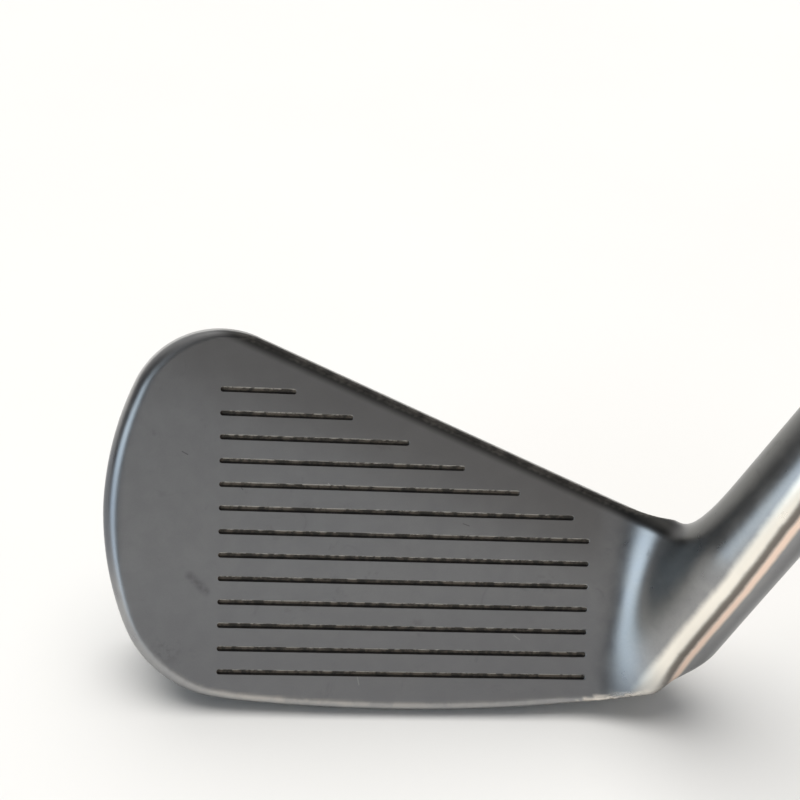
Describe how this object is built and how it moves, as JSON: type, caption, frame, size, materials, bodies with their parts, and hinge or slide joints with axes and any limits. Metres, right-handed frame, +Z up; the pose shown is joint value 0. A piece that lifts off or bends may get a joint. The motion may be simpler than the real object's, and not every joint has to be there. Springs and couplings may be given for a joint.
{
  "type": "iron golf club",
  "caption": "Cavity-back iron golf club: a lofted steel head with grooved face and bent hosel on a long stepped shaft with a ferrule and a tapered rubber grip.",
  "frame": {"origin": "where the sole touches the ground, under the middle of the score lines, club at address", "axes": "+X from toe to heel along the score lines, +Y from the target side to the back of the head, +Z up from the ground"},
  "size_m": [0.5111, 0.0398, 0.8727],
  "materials": {
    "forged_steel": "satin",
    "tungsten": "satin",
    "shaft_chrome": "polished",
    "brass_weight": "satin",
    "ferrule_black": "gloss",
    "trim_aluminium": "satin",
    "badge_aluminium": "satin",
    "pad_rubber": "matte",
    "adhesive": "matte",
    "epoxy": "satin",
    "band_foil": "gloss",
    "grip_tape": "matte",
    "grip_rubber": "matte",
    "cap_rubber": "satin"
  },
  "bodies": {
    "root": {"head_body": "forged_steel", "toe_weight": "tungsten", "cavity_pad": "pad_rubber", "badge_adhesive": "adhesive", "cavity_badge": "badge_aluminium", "shaft": "shaft_chrome", "hosel_epoxy": "epoxy", "tip_weight": "brass_weight", "ferrule": "ferrule_black", "ferrule_trim_rings": "trim_aluminium", "shaft_band": "band_foil", "grip_tape": "grip_tape", "grip": "grip_rubber", "grip_cap": "cap_rubber"}
  },
  "joints": []
}
